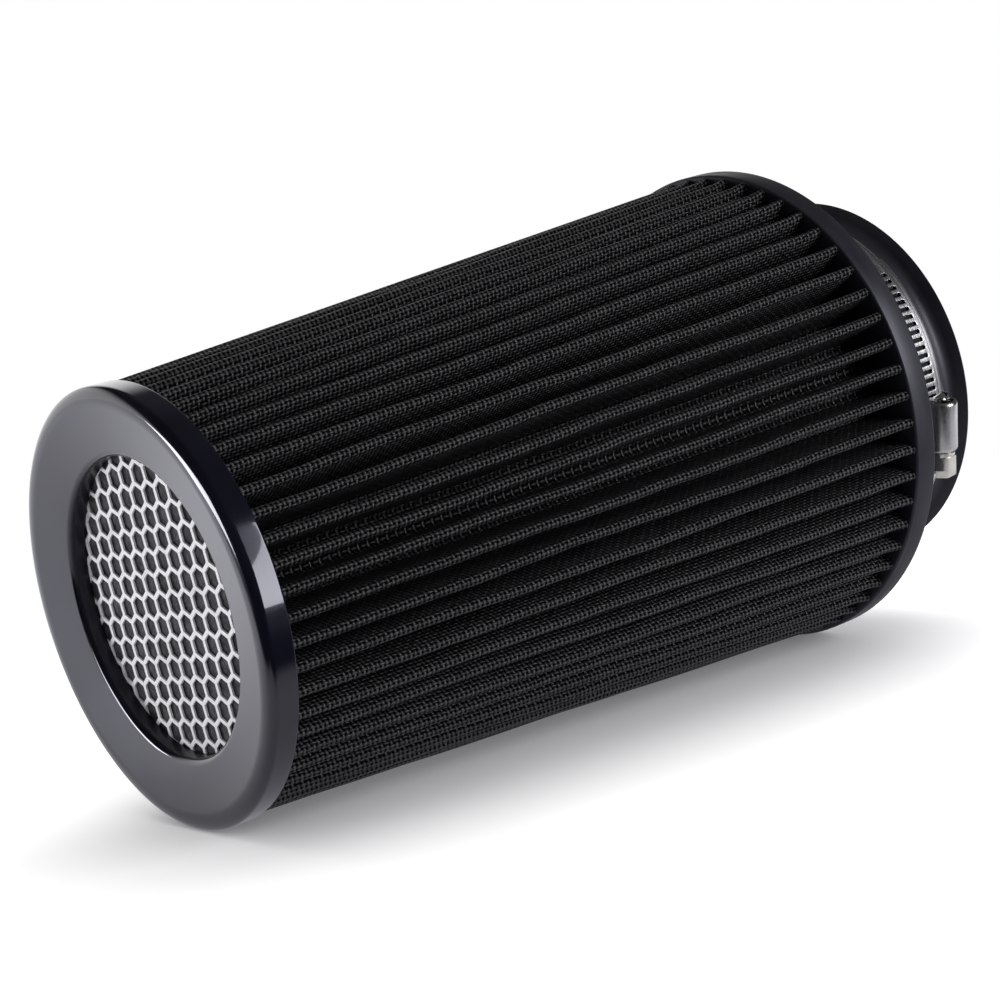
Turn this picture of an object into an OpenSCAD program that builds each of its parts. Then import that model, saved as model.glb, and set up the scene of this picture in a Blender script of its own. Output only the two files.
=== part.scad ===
// Cone air filter with a windowed end cap, a pleated body and a slotted hose clamp.
// It stands on its neck: the neck's mouth is at z = 0 and the end cap is on top.

/* [Overall] */

// Neck length from its mouth to the underside of the base ring (mm)
neck_len = 35; // [25:0.5:60]

// Height of the base ring (mm)
base_ring_h = 8; // [5:0.5:14]

// Length of pleats between the base ring and the end cap (mm)
pleat_len = 215; // [120:1:300]

// Height of the end cap's rim (mm)
cap_h = 8.5; // [7:0.5:16]

/* [Base and neck] */

// Outer radius of the base ring (mm)
base_r = 76; // [66:0.5:90]

// Radius of the bore that slides over the intake pipe (mm)
bore_r = 51; // [40:0.5:55]

// Wall of the neck (mm)
neck_wall = 3.9; // [3:0.1:6]

// Outer radius of the lip at the neck's mouth (mm)
lip_r = 58.8; // [56:0.1:64]

// Thickness of the lip's edge (mm)
lip_edge = 1.8; // [1:0.1:4]

// Radius of the hollow curve behind the lip (mm)
lip_fillet = 4.4; // [2:0.1:6]

// Radius of the hollow curve under the base ring (mm)
shoulder_fillet = 10; // [4:0.5:12]

// Radius of the bell mouth inside the base (mm)
bell_r = 6.5; // [3:0.5:7]

// Softened edges of the rubber (mm)
edge_soft = 0.8; // [0.2:0.1:1.5]

/* [Pleats] */

// Number of pleats around the body
pleats = 56; // [40:1:80]

// Radius of the pleat crests at the base ring (mm)
crest_base_r = 74.8; // [70:0.1:80]

// Radius of the pleat crests at the end cap (mm)
crest_cap_r = 61.5; // [58:0.1:70]

// Depth of a pleat from crest to valley (mm)
pleat_depth = 15; // [10:0.5:16]

// Width of one folded pleat across all its layers (mm)
fold_w = 3; // [2.8:0.1:3.4]

// Turn of the first pleat about the axis (degrees)
pleat_turn = 1.8; // [0:0.1:6]

// Turn of a pleat on its way from the base ring to the end cap (degrees)
pleat_drift = 3; // [0:0.1:4]

// Thickness of the outer wire screen (mm)
screen_t = 0.45; // [0.3:0.05:0.6]

// Thickness of the folded gauze (mm)
gauze_t = 0.45; // [0.3:0.05:0.6]

// Thickness of the inner wire screen (mm)
lining_t = 0.3; // [0.2:0.05:0.4]

// Gap between the folded layers (mm)
layer_gap = 0.05; // [0.02:0.01:0.08]

/* [End cap] */

// Outer radius of the end cap (mm)
cap_r = 62.4; // [60:0.1:72]

// Rounding at the top of the cap's side (mm)
cap_round = 1.8; // [1:0.1:2.5]

// Softer rounding that follows it towards the face (mm)
crown_round = 3.6; // [2.6:0.1:5]

// Angle at which the first rounding passes into the second (degrees)
crown_angle = 50; // [20:1:70]

// Slope of the dished face (degrees)
dish_angle = 11; // [4:0.5:14]

// Radius of the window in the cap (mm)
window_r = 42.5; // [30:0.5:44]

// Rounding of the window's edge (mm)
window_round = 1.8; // [0.6:0.1:2.5]

// Depth of the mesh behind the cap's front (mm)
mesh_depth = 8; // [6:0.1:12]

// Width of the ledge that holds the mesh and the gauze disc (mm)
ledge_w = 1.4; // [1:0.1:2]

// Wall around the two discs (mm)
socket_wall = 1.1; // [0.8:0.1:2]

// Height of the ledge under the gauze disc (mm)
ledge_h = 2.8; // [1.5:0.1:4]

/* [Window mesh and gauze] */

// Thickness of the hexagon mesh (mm)
mesh_t = 0.6; // [0.4:0.1:2]

// Distance between neighbouring hexagons (mm)
hex_pitch = 7; // [5:0.1:10]

// Width of the web between hexagons (mm)
hex_web = 1.4; // [0.8:0.1:2.5]

// Turn of the hexagon rows about the axis (degrees)
hex_turn = -12.3; // [-30:0.1:30]

// Place of the middle hexagon along X (mm)
hex_x = -0.95; // [-3:0.05:3]

// Place of the middle hexagon along Y (mm)
hex_y = 2.15; // [-3:0.05:3]

// Solid edge left around the mesh (mm)
mesh_edge = 0.9; // [0.6:0.1:3]

// Thickness of the gauze disc behind the mesh (mm)
disc_t = 2.5; // [1:0.1:4]

/* [Clamp band] */

// Width of the clamp band (mm)
band_w = 12.7; // [8:0.1:14]

// Thickness of the clamp band (mm)
band_t = 0.7; // [0.5:0.05:1]

// Height of the band's lower edge above the neck's mouth (mm)
band_z = 8.4; // [7:0.1:14]

// Gap between the neck and the band (mm)
band_gap = 0.05; // [0.02:0.01:0.2]

// Gap between the band and its overlapping tail (mm)
lap_gap = 0.05; // [0.02:0.01:0.2]

// Length of the tail beyond the housing, as an angle (degrees)
tail_angle = 57.4; // [30:0.1:80]

// Blank end of the tail before its first slot (degrees)
tail_blank = 6.5; // [3:0.1:12]

// Angle of the band that climbs onto its own start (degrees)
climb_angle = 60; // [40:1:80]

// Slots in the band
slots = 34; // [20:1:50]

// Length of a slot across the band (mm)
slot_len = 6.4; // [5:0.1:8]

// Width of a slot (mm)
slot_w = 1.35; // [1:0.05:1.6]

// Distance between slots (mm)
slot_pitch = 2.6; // [2.4:0.01:3.4]

/* [Clamp housing and screw] */

// Length of the screw housing (mm)
housing_len = 16.2; // [12:0.1:20]

// Sheet thickness of the housing (mm)
housing_t = 0.7; // [0.6:0.05:1.4]

// Radius of the screw's thread (mm)
thread_r = 4.1; // [3:0.05:4.5]

// Radius of the screw between its thread ridges (mm)
root_r = 3.3; // [2.5:0.05:3.5]

// Depth that the thread dips into the slots (mm)
thread_bite = 0.25; // [0.2:0.05:0.6]

// Thickness of a thread ridge (mm)
ridge_t = 0.7; // [0.5:0.05:0.9]

// Room around the thread inside the housing (mm)
thread_room = 0.3; // [0.3:0.05:0.6]

// Running clearance of the screw's two journals (mm)
journal_gap = 0.08; // [0.03:0.01:0.1]

// Radius of the journal at the tip (mm)
tip_r = 2.1; // [1.6:0.1:2.6]

// Radius of the journal at the head (mm)
neck_r = 2.6; // [2:0.1:3]

// Radius of the screw's collar (mm)
collar_r = 4.15; // [3.6:0.05:4.6]

// Thickness of the screw's collar (mm)
collar_t = 1.4; // [0.8:0.1:2]

// Width of the hexagon head across its flats (mm)
hex_af = 8; // [6:0.1:9]

// Radius of the head's rounded corners about its axis (mm)
hex_corner_r = 4.4; // [3.6:0.05:5]

// Turn of the head about its axis at rest (degrees)
head_turn = 7.7; // [0:0.1:60]

// Length of the hexagon head (mm)
hex_len = 6.6; // [4:0.1:8]

// Width of the screwdriver slot in the head (mm)
drive_w = 1.3; // [0.8:0.1:2]

// Depth of the screwdriver slot in the head (mm)
drive_d = 2.4; // [1:0.1:4]

// End play of the screw in its housing (mm)
end_play = 0.3; // [0.3:0.05:0.6]

/* [Hidden] */

round_fn = 72;
small_fn = 32;
band_steps = 140;

// Levels from the mouth upwards
ring_z0 = neck_len;
pleat_z0 = neck_len + base_ring_h;
pleat_z1 = pleat_z0 + pleat_len;
top_z = pleat_z1 + cap_h;

// Neck and band radii
neck_out_r = bore_r + neck_wall;
band_in_r = neck_out_r + band_gap;
lap_in_r = band_in_r + band_t + lap_gap;
lap_out_r = lap_in_r + band_t;
band_mid_z = band_z + band_w / 2;
climb_rise = band_t + lap_gap;
slot_step = slot_pitch / (lap_in_r + band_t / 2) * 180 / PI;

// The housing's middle faces -Y, and the screw's head points to -X
housing_angle = -90;
band_start = housing_angle - 5;
climb_end = 360 + housing_angle - 9;
tail_end = 360 + housing_angle + tail_angle;
screw_y = -(lap_out_r - thread_bite + thread_r);
tail_slots = floor((tail_angle - tail_blank) / slot_step);
shell_in_r = thread_r + thread_room;
shell_out_r = shell_in_r + housing_t;
housing_w = band_w / 2 + 0.1 + housing_t;
lap_clear_r = lap_out_r + 0.1;

// Pleat geometry
lean = atan((crest_base_r - crest_cap_r * cos(pleat_drift)) / pleat_len);
side_lean = atan(crest_cap_r * sin(pleat_drift) * cos(lean) / pleat_len);
fold_len = pleat_len / cos(lean) / cos(side_lean);
valley_base_r = crest_base_r - pleat_depth;
valley_cap_r = crest_cap_r - pleat_depth;
gauze_in = screen_t + layer_gap;
lining_in = gauze_in + gauze_t + layer_gap;

// End cap levels and radii
crown_z = top_z - crown_round;
crown_r = cap_r - cap_round - (crown_round - cap_round) * cos(crown_angle);
crown_step = (90 + dish_angle - crown_angle) / 6;
round_z = crown_z + (crown_round - cap_round) * sin(crown_angle);
face_z = crown_z + crown_round * cos(dish_angle);
dish_r0 = crown_r - crown_round * sin(dish_angle);
dish_r1 = window_r + window_round - window_round * sin(dish_angle);
dish_z1 = face_z - (dish_r0 - dish_r1) * tan(dish_angle);
window_z = dish_z1 - window_round * cos(dish_angle);
mesh_top = top_z - mesh_depth;
disc_top = mesh_top - mesh_t;
disc_low = disc_top - disc_t;
disc_r = window_r + ledge_w;
socket_out_r = disc_r + socket_wall;
ledge_r = window_r - ledge_w;
ledge_low = disc_low - ledge_h;

/* [Parts] */

// Part to draw

// Points of an arc about (x, y) from angle a0 to angle a1 in n steps
function arc(x, y, r, a0, a1, n) =
    [for (i = [0:n]) [x + r * cos(a0 + (a1 - a0) * i / n), y + r * sin(a0 + (a1 - a0) * i / n)]];

// Places everything inside it once for each pleat
module around() {
    for (i = [0:pleats - 1])
        rotate([0, 0, pleat_turn + i * 360 / pleats])
            children();
}

// One leaning fold, w wide, with its crest set in by inset, made of steps flat faces
module fold(w, inset, reach, steps) {
    translate([crest_base_r, 0, pleat_z0])
        rotate([0, -lean, 0])
            rotate([side_lean, 0, 0])
                translate([0, 0, -2])
                    linear_extrude(height = fold_len + 4)
                        polygon(concat(
                            [[-reach, -w / 2]],
                            arc(-inset - w / 2, 0, w / 2, -90, 90, steps),
                            [[-reach, w / 2]]));
}

// The ring of valley floors, from depth d0 to depth d1 below the valley line
module valleys(d0, d1) {
    rotate([0, 0, pleat_turn])
        rotate_extrude($fn = pleats)
            polygon([
                [valley_base_r - d1, pleat_z0],
                [valley_base_r - d0, pleat_z0],
                [valley_cap_r - d0, pleat_z1],
                [valley_cap_r - d1, pleat_z1]]);
}

// One folded sheet between depths d0 and d1 under the pleats' outer face
module pleated_sheet(d0, d1, outer_steps, inner_steps) {
    difference() {
        union() {
            valleys(d0, d1);
            intersection() {
                around()
                    fold(fold_w - 2 * d0, d0, pleat_depth + (d0 + d1) / 2, outer_steps);
                translate([0, 0, pleat_z0])
                    cylinder(r = base_r + 10, h = pleat_len, $fn = round_fn);
            }
        }
        around()
            fold(fold_w - 2 * d1, d1, pleat_depth + 8, inner_steps);
    }
}

// Moulded end cap: rounded rim, dished face, window and the socket for its two discs
module end_cap() {
    color("#17181c")
        rotate_extrude($fn = round_fn)
            polygon(concat(
                [[socket_out_r, pleat_z1], [cap_r - 0.4, pleat_z1], [cap_r, pleat_z1 + 0.4]],
                arc(cap_r - cap_round, round_z, cap_round, 0, crown_angle, 4),
                arc(crown_r, crown_z, crown_round, crown_angle + crown_step, 90 + dish_angle, 5),
                arc(window_r + window_round, window_z, window_round, 90 + dish_angle, 180, 4),
                [[window_r, mesh_top], [disc_r, mesh_top], [disc_r, disc_low],
                [ledge_r, disc_low], [ledge_r, ledge_low + 0.6], [ledge_r + 0.6, ledge_low],
                [socket_out_r - 0.6, ledge_low], [socket_out_r, ledge_low + 0.6]]));
}

// Hexagon mesh behind the window
module window_mesh() {
    hole_r = (hex_pitch - hex_web) / sqrt(3);
    field_r = disc_r - mesh_edge;
    rows = ceil(disc_r / hex_pitch) + 2;
    color("#d4d6da")
        difference() {
            translate([0, 0, disc_top])
                cylinder(r = disc_r, h = mesh_t, $fn = round_fn);
            for (i = [-rows:rows])
                for (j = [-rows:rows])
                    let (
                        px = hex_pitch * (i + j / 2),
                        py = hex_pitch * j * sqrt(3) / 2,
                        cx = hex_x + px * cos(hex_turn) - py * sin(hex_turn),
                        cy = hex_y + px * sin(hex_turn) + py * cos(hex_turn),
                        d = norm([cx, cy]))
                        if (d + hole_r < field_r)
                            hex_hole(cx, cy, hole_r);
                        else if (d - hole_r < field_r - 1.6)
                            intersection() {
                                hex_hole(cx, cy, hole_r);
                                translate([0, 0, disc_top - 2])
                                    cylinder(r = field_r, h = mesh_t + 4, $fn = round_fn);
                            }
        }
}

// One hexagon hole, with a corner at right angles to the rows
module hex_hole(cx, cy, hole_r) {
    translate([cx, cy, disc_top - 1])
        rotate([0, 0, hex_turn + 30])
            cylinder(r = hole_r, h = mesh_t + 2, $fn = 6);
}

// Gauze disc that filters the air through the window
module window_gauze() {
    color("#4b4c50")
        translate([0, 0, disc_low])
            cylinder(r = disc_r, h = disc_t, $fn = round_fn);
}

// Outer wire screen, folded with the gauze
module outer_screen() {
    color("#141416")
        pleated_sheet(0, screen_t, 4, 2);
}

// Gauze between the two screens
module folded_gauze() {
    color("#232326")
        pleated_sheet(gauze_in, gauze_in + gauze_t, 2, 2);
}

// Inner wire screen on the clean side
module inner_screen() {
    color("#1b1b1e")
        pleated_sheet(lining_in, lining_in + lining_t, 2, 2);
}

// Base ring, neck and lip, moulded in one piece of rubber
module base_boot() {
    color("#1b1c21")
        rotate_extrude($fn = round_fn)
            polygon(concat(
                [[bore_r, 0.6], [bore_r + 0.6, 0], [lip_r - 0.5, 0], [lip_r, 0.5]],
                [[lip_r, lip_edge]],
                arc(neck_out_r + lip_fillet, lip_edge + lip_fillet, lip_fillet, 270 - 28, 180, 4),
                arc(neck_out_r + shoulder_fillet, ring_z0 - shoulder_fillet, shoulder_fillet, 180, 90, 5),
                [[base_r - edge_soft, ring_z0], [base_r, ring_z0 + edge_soft]],
                [[base_r, pleat_z0 - edge_soft], [base_r - edge_soft, pleat_z0]],
                arc(bore_r + bell_r, pleat_z0 - bell_r, bell_r, 90, 180, 5)));
}

// Radius of the band's inner face at angle a: it climbs onto its own start before the housing
function band_r(a) =
    let (u = min(1, max(0, (a - climb_end + climb_angle) / climb_angle)))
    band_in_r + climb_rise * u * u * (3 - 2 * u);

// Point i along the band, t outside its inner face
function band_point(i, t) =
    let (a = band_start + (tail_end - band_start) * i / band_steps)
    [(band_r(a) + t) * cos(a), (band_r(a) + t) * sin(a)];

// Slotted steel band: it starts in the housing, goes once round and overlaps itself
module clamp_band() {
    color("#c8c9cc")
        difference() {
            translate([0, 0, band_z])
                linear_extrude(height = band_w)
                    polygon(concat(
                        [for (i = [0:band_steps]) band_point(i, 0)],
                        [for (i = [band_steps:-1:0]) band_point(i, band_t)]));
            for (i = [0:slots - 1])
                let (
                    a = housing_angle + (tail_slots - i) * slot_step,
                    from_r = a < band_start - 1 ? band_in_r - 1 : lap_in_r - lap_gap / 2)
                    rotate([0, 0, a])
                        translate([from_r, -slot_w / 2, band_mid_z - slot_len / 2])
                            cube([lap_out_r + 1.5 - from_r, slot_w, slot_len]);
        }
}

// Pressed housing over the screw, with side legs that hold the band
module clamp_housing() {
    color("#b9babd")
        difference() {
            union() {
                translate([-housing_len / 2, screw_y, band_mid_z])
                    rotate([0, 90, 0])
                        cylinder(r = shell_out_r, h = housing_len, $fn = small_fn);
                translate([-housing_len / 2, screw_y, band_mid_z - shell_out_r])
                    cube([housing_len, -screw_y - lap_out_r, 2 * shell_out_r]);
                translate([-housing_len / 2, -lap_clear_r - housing_t, band_mid_z - housing_w])
                    cube([housing_len, housing_t + 2.6, 2 * housing_w]);
            }
            // Room for the two layers of band
            translate([0, 0, band_z - 0.1])
                cylinder(r = lap_clear_r, h = band_w + 0.2, $fn = round_fn * 2);
            // The legs end on the rubber
            translate([0, 0, band_z - 10])
                cylinder(r = band_in_r, h = band_w + 20, $fn = round_fn * 2);
            // Hollow for the thread
            translate([-housing_len / 2 + housing_t, screw_y, band_mid_z])
                rotate([0, 90, 0])
                    cylinder(r = shell_in_r, h = housing_len - 2 * housing_t, $fn = small_fn);
            // Holes for the screw's two journals
            translate([-housing_len / 2 - 1, screw_y, band_mid_z])
                rotate([0, 90, 0])
                    cylinder(r = neck_r + journal_gap, h = housing_t + 2, $fn = small_fn);
            translate([housing_len / 2 - housing_t - 1, screw_y, band_mid_z])
                rotate([0, 90, 0])
                    cylinder(r = tip_r + journal_gap, h = housing_t + 2, $fn = small_fn);
        }
}

// Worm screw: journals at both ends, ridges in step with the slots, collar and hexagon head
module clamp_screw() {
    x0 = -housing_len / 2;
    body_len = housing_len - 2 * housing_t - 2 * end_play;
    color("#d9d6cc")
        difference() {
            translate([0, screw_y, band_mid_z])
                rotate([0, 90, 0])
                    union() {
                        translate([0, 0, -body_len / 2])
                            cylinder(r = root_r, h = body_len, $fn = small_fn);
                        for (i = [-2:2])
                            translate([0, 0, i * slot_pitch - ridge_t / 2])
                                cylinder(r = thread_r, h = ridge_t, $fn = small_fn);
                        translate([0, 0, x0 - end_play - 0.5])
                            cylinder(r = neck_r, h = housing_t + 2 * end_play + 1, $fn = small_fn);
                        translate([0, 0, -x0 - housing_t - end_play - 0.5])
                            cylinder(r = tip_r, h = housing_t + end_play + 2, $fn = small_fn);
                        translate([0, 0, x0 - end_play - collar_t])
                            cylinder(r = collar_r, h = collar_t, $fn = small_fn);
                        translate([0, 0, x0 - end_play - collar_t - hex_len])
                            intersection() {
                                rotate([0, 0, head_turn])
                                    cylinder(r = hex_af / sqrt(3), h = hex_len + 0.3, $fn = 6);
                                cylinder(r = hex_corner_r, h = hex_len + 0.3, $fn = round_fn);
                            }
                    }
            // Screwdriver slot across the head
            translate([x0 - end_play - collar_t - hex_len - 1, screw_y, band_mid_z])
                rotate([head_turn, 0, 0])
                    translate([0, -drive_w / 2, -hex_af])
                        cube([drive_d + 1, drive_w, 2 * hex_af]);
        }
}

end_cap();
window_mesh();
window_gauze();
outer_screen();
folded_gauze();
inner_screen();
base_boot();
clamp_band();
clamp_housing();
clamp_screw();
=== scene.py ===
"""Looks of a cone air filter with a windowed end cap and a slotted hose clamp.

Everything is in metres and in the part's own frame: the filter stands on its
neck, whose mouth is at z = 0, and its axis is +Z. The photograph shows it lying
on its side, so the stage floor of this scene is a plane along its low side.
"""

import logging
import math
import random
from dataclasses import dataclass
from enum import Enum
from typing import Iterable, Sequence

import bmesh
import bpy
from mathutils import Matrix, Vector


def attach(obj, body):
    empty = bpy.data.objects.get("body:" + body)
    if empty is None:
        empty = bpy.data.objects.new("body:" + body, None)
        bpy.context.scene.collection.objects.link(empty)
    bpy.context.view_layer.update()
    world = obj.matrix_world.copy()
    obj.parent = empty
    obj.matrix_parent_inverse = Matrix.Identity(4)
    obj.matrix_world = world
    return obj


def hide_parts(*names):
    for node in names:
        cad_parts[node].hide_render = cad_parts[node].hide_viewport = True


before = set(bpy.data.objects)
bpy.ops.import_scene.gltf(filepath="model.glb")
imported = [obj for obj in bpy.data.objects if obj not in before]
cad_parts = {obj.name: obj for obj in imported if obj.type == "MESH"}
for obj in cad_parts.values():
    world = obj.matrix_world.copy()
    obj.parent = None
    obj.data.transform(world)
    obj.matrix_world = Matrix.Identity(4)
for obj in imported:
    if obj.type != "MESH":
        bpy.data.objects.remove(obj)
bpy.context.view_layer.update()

LOG = logging.getLogger("filter")
MM = 0.001
TAU = 2 * math.pi

Colour = tuple[float, float, float]
Point = tuple[float, float]
Span = tuple[float, float]


class Body(Enum):
    """The two bodies of the part."""

    FILTER = "filter"
    SCREW = "screw"


class Layer(Enum):
    """The three folded sheets of the pleats, from the outside in."""

    OUTER = "outer_screen"
    GAUZE = "folded_gauze"
    INNER = "inner_screen"


# ---------------------------------------------------------------- shader maths


class Value:
    """A number in a shader; Python's arithmetic on it adds Math nodes."""

    def __init__(self, shading: "Shading", socket: bpy.types.NodeSocket) -> None:
        """Keeps the socket and the shading that it belongs to."""
        self.shading = shading
        self.socket = socket

    def __add__(self, other: "Value | float") -> "Value":
        """Sum."""
        return self.shading.math("ADD", self, other)

    __radd__ = __add__

    def __sub__(self, other: "Value | float") -> "Value":
        """Difference."""
        return self.shading.math("SUBTRACT", self, other)

    def __rsub__(self, other: "Value | float") -> "Value":
        """Difference, with the plain number first."""
        return self.shading.math("SUBTRACT", other, self)

    def __mul__(self, other: "Value | float") -> "Value":
        """Product."""
        return self.shading.math("MULTIPLY", self, other)

    __rmul__ = __mul__

    def __truediv__(self, other: "Value | float") -> "Value":
        """Quotient."""
        return self.shading.math("DIVIDE", self, other)

    def __rtruediv__(self, other: "Value | float") -> "Value":
        """Quotient, with the plain number first."""
        return self.shading.math("DIVIDE", other, self)

    def __pow__(self, other: "Value | float") -> "Value":
        """Power."""
        return self.shading.math("POWER", self, other)

    def __abs__(self) -> "Value":
        """Size without the sign."""
        return self.shading.math("ABSOLUTE", self)

    def cos(self) -> "Value":
        """Cosine of an angle in radians."""
        return self.shading.math("COSINE", self)

    def floor(self) -> "Value":
        """Whole part."""
        return self.shading.math("FLOOR", self)

    def fract(self) -> "Value":
        """Part after the point."""
        return self.shading.math("FRACT", self)

    def root(self) -> "Value":
        """Square root, of zero where the number is negative."""
        return self.shading.math("SQRT", self.at_least(0.0))

    def at_least(self, other: "Value | float") -> "Value":
        """The larger of the two."""
        return self.shading.math("MAXIMUM", self, other)

    def at_most(self, other: "Value | float") -> "Value":
        """The smaller of the two."""
        return self.shading.math("MINIMUM", self, other)

    def ramp(self, low: float, high: float) -> "Value":
        """A smooth step.

        Args:
            low: Where the result is 0.
            high: Where the result is 1.

        Returns:
            The step's value, from 0 to 1.
        """
        made = self.shading.node(
            "ShaderNodeMapRange",
            {"interpolation_type": "SMOOTHSTEP"},
            {"Value": self, "From Min": low, "From Max": high},
        )
        return Value(self.shading, made.outputs["Result"])


class Shading:
    """The node tree of one material, world or lamp."""

    def __init__(self, owner: bpy.types.ID) -> None:
        """Empties the owner's node tree.

        Args:
            owner: A material or a world.
        """
        owner.use_nodes = True
        self.tree = owner.node_tree
        self.tree.nodes.clear()

    def node(
        self,
        kind: str,
        settings: dict[str, object] | None = None,
        inputs: dict[str | int, object] | None = None,
    ) -> bpy.types.Node:
        """Adds a node: its settings first, then its sockets.

        Args:
            kind: The node's type.
            settings: The node's own properties.
            inputs: A value or a link for each named or numbered socket.

        Returns:
            The node.
        """
        made = self.tree.nodes.new(kind)
        for name, value in (settings or {}).items():
            setattr(made, name, value)
        for key, value in (inputs or {}).items():
            if isinstance(value, Value):
                value = value.socket
            if isinstance(value, bpy.types.NodeSocket):
                self.tree.links.new(value, made.inputs[key])
            else:
                made.inputs[key].default_value = value
        return made

    def math(self, operation: str, *values: "Value | float") -> Value:
        """Adds a Math node.

        Args:
            operation: What the node works out.
            values: Its inputs, in order.

        Returns:
            Its result.
        """
        made = self.node("ShaderNodeMath", {"operation": operation}, dict(enumerate(values)))
        return Value(self, made.outputs[0])

    def place(
        self, scale: Sequence[float] = (1, 1, 1), turn: Sequence[float] = (0, 0, 0)
    ) -> bpy.types.NodeSocket:
        """Object coordinates, scaled and turned.

        Args:
            scale: The pattern's scale along each axis.
            turn: Its turn about each axis, in radians.

        Returns:
            The vector.
        """
        where = self.node("ShaderNodeTexCoord").outputs["Object"]
        made = self.node("ShaderNodeMapping", None, {"Vector": where, "Rotation": turn, "Scale": scale})
        return made.outputs["Vector"]

    def uv(self, name: str) -> tuple[Value, Value]:
        """The two numbers of a UV map, by the map's name."""
        where = self.node("ShaderNodeUVMap", {"uv_map": name}).outputs["UV"]
        split = self.node("ShaderNodeSeparateXYZ", None, {"Vector": where})
        return Value(self, split.outputs["X"]), Value(self, split.outputs["Y"])

    def vector(self, x: Value, y: Value) -> bpy.types.NodeSocket:
        """Two numbers joined into a flat vector."""
        return self.node("ShaderNodeCombineXYZ", None, {"X": x, "Y": y}).outputs["Vector"]

    def measure(self, operation: str, *vectors: object) -> Value:
        """One number out of vectors, such as a length, a distance or a dot product."""
        made = self.node("ShaderNodeVectorMath", {"operation": operation}, dict(enumerate(vectors)))
        return Value(self, made.outputs["Value"])

    def seen_directly(self) -> Value:
        """1 for what the camera sees itself or through something clear, or else 0."""
        path = self.node("ShaderNodeLightPath").outputs
        return Value(self, path["Is Camera Ray"]).at_least(Value(self, path["Is Transmission Ray"]))

    def mirrored(self) -> Value:
        """1 for what is seen in a glossy surface, or else 0."""
        return Value(self, self.node("ShaderNodeLightPath").outputs["Is Glossy Ray"])

    def noise(
        self,
        where: bpy.types.NodeSocket,
        scale: float,
        detail: float = 2.0,
        rough: float = 0.5,
    ) -> Value:
        """A cloud of noise, around 0.5.

        Args:
            where: The vector that it is read at.
            scale: How fine it is.
            detail: How many finer clouds are added.
            rough: How strong these are.

        Returns:
            The noise.
        """
        made = self.node(
            "ShaderNodeTexNoise",
            None,
            {"Vector": where, "Scale": scale, "Detail": detail, "Roughness": rough},
        )
        return Value(self, made.outputs[0])

    def mix(self, share: "Value | float", first: object, second: object) -> bpy.types.NodeSocket:
        """Mixes two colours.

        Args:
            share: 0 for the first colour, 1 for the second.
            first: A colour or a colour socket.
            second: A colour or a colour socket.

        Returns:
            The mixed colour.
        """
        colours = [(*c, 1.0) if isinstance(c, tuple) and len(c) == 3 else c for c in (first, second)]
        made = self.node(
            "ShaderNodeMix",
            {"data_type": "RGBA"},
            {0: share, 6: colours[0], 7: colours[1]},
        )
        return made.outputs[2]

    def bump(self, height: Value, depth: float, strength: float = 1.0) -> bpy.types.NodeSocket:
        """Turns a height into a normal.

        Args:
            height: The height, from about 0 to 1.
            depth: What a height of 1 is, in metres.
            strength: How much of the effect shows.

        Returns:
            The normal.
        """
        made = self.node(
            "ShaderNodeBump",
            None,
            {"Strength": strength, "Distance": depth, "Height": height},
        )
        return made.outputs["Normal"]

    def principled(self, **inputs: object) -> bpy.types.NodeSocket:
        """A Principled surface; a socket's name is given with _ for each space."""
        named = {key.replace("_", " "): value for key, value in inputs.items()}
        for key, value in named.items():
            if isinstance(value, tuple) and len(value) == 3:
                named[key] = (*value, 1.0)
        return self.node("ShaderNodeBsdfPrincipled", None, named).outputs["BSDF"]

    def output(self, surface: bpy.types.NodeSocket, kind: str = "ShaderNodeOutputMaterial") -> None:
        """Wires the surface to the tree's output."""
        self.node(kind, None, {"Surface": surface})


# -------------------------------------------------------------------- finishes


@dataclass(frozen=True)
class Finish:
    """What every finish has: a name, and a way to be put on a piece."""

    name: str

    def dress(self, piece: bpy.types.Object) -> None:
        """Makes this finish the piece's only material.

        Args:
            piece: The mesh object to dress.
        """
        name = f"{self.name}_look"
        made = bpy.data.materials.get(name)
        if made is None:
            made = bpy.data.materials.new(name)
            shading = Shading(made)
            shading.output(self.surface(shading))
        piece.data.materials.clear()
        piece.data.materials.append(made)

    def surface(self, shading: Shading) -> bpy.types.NodeSocket:
        """Builds the finish's nodes and returns the surface."""
        raise NotImplementedError


@dataclass(frozen=True)
class GlossMoulding(Finish):
    """Glossy black moulding with the faint ripple of a cast surface."""

    dark: Colour = (0.0025, 0.0025, 0.0055)
    pale: Colour = (0.006, 0.006, 0.012)
    rough_low: float = 0.09
    rough_high: float = 0.15
    window_r: float = 42.6 * MM
    edge: float = 0.6 * MM
    dulled: float = 0.3
    coat_inside: float = 0.15

    def surface(self, shading: Shading) -> bpy.types.NodeSocket:
        """Builds the finish's nodes and returns the surface."""
        where = shading.place()
        cloud = shading.noise(where, 26.0, 3.0)
        fine = shading.noise(where, 900.0, 2.0)
        ripple = shading.noise(where, 60.0, 1.0)
        reach = shading.measure("LENGTH", shading.place((1, 1, 0)))
        open_face = reach.ramp(self.window_r, self.window_r + self.edge)
        spread = self.rough_high - self.rough_low
        rough = self.rough_low + spread * cloud.ramp(0.3, 0.75) + self.dulled * (1.0 - open_face)
        return shading.principled(
            Base_Color=shading.mix(cloud.ramp(0.3, 0.7), self.dark, self.pale),
            Roughness=rough,
            IOR=1.45,
            Specular_Tint=(0.86, 0.87, 1.0),
            Coat_Weight=self.coat_inside + (1.0 - self.coat_inside) * open_face,
            Coat_Roughness=0.02,
            Coat_IOR=1.5,
            Coat_Tint=(0.97, 0.97, 1.0),
            Normal=shading.bump(ripple * 0.9 + fine * 0.1, 0.00003),
        )


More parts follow.
